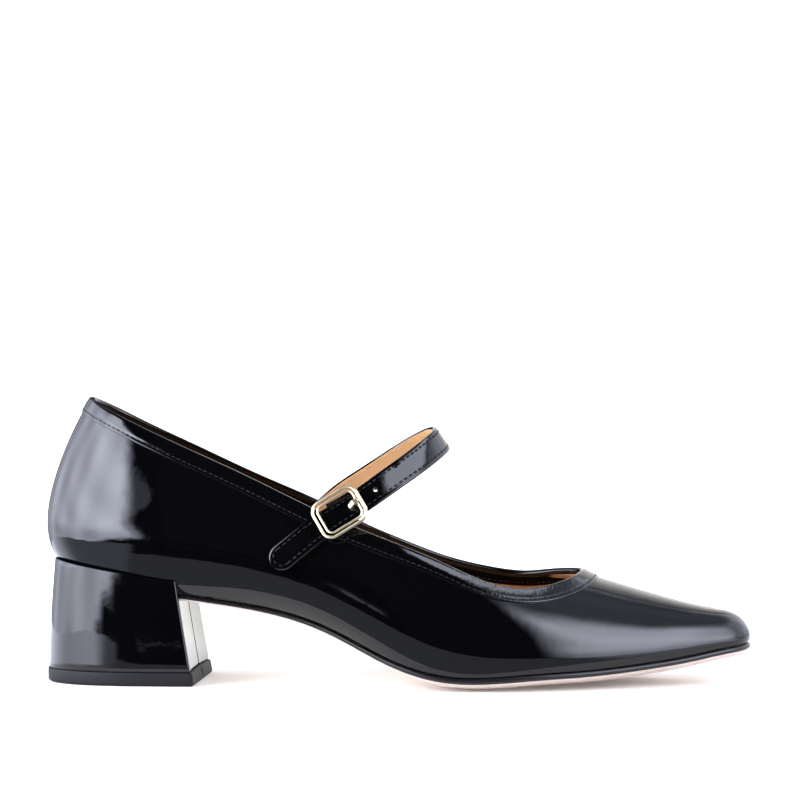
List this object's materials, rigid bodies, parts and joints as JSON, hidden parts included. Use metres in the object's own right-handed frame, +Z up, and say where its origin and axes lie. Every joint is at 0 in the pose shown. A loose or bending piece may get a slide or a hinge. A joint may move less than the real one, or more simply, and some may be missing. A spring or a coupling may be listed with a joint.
{
  "type": "mary jane shoe",
  "caption": "Right mary jane pump in black patent leather with a low block heel, a slim soft-square toe and an instep strap closed by a gilt buckle.",
  "frame": {"origin": "on the floor under the middle of the shoe's bounding box", "axes": "+X from heel to toe, +Y to the inner (medial) side of the right foot, +Z up"},
  "size_m": [0.2558, 0.0782, 0.1026],
  "materials": {
    "patent_leather": "black patent leather with a clear lacquered gloss",
    "tan_lining": "smooth tan lining leather, matt",
    "sole_resin": "nude beige sole sheet with a black painted bead edge",
    "patent_heel_cover": "black patent cover stretched over the heel block",
    "heel_rubber": "charcoal black rubber, matt",
    "gilt_metal": "polished pale gold plating"
  },
  "bodies": {
    "root": {"upper": "patent_leather", "insole": "tan_lining", "outsole": "sole_resin", "heel_block": "patent_heel_cover", "toplift": "heel_rubber", "strap": "patent_leather", "buckle_frame": "gilt_metal", "buckle_prong": "gilt_metal"}
  },
  "joints": []
}
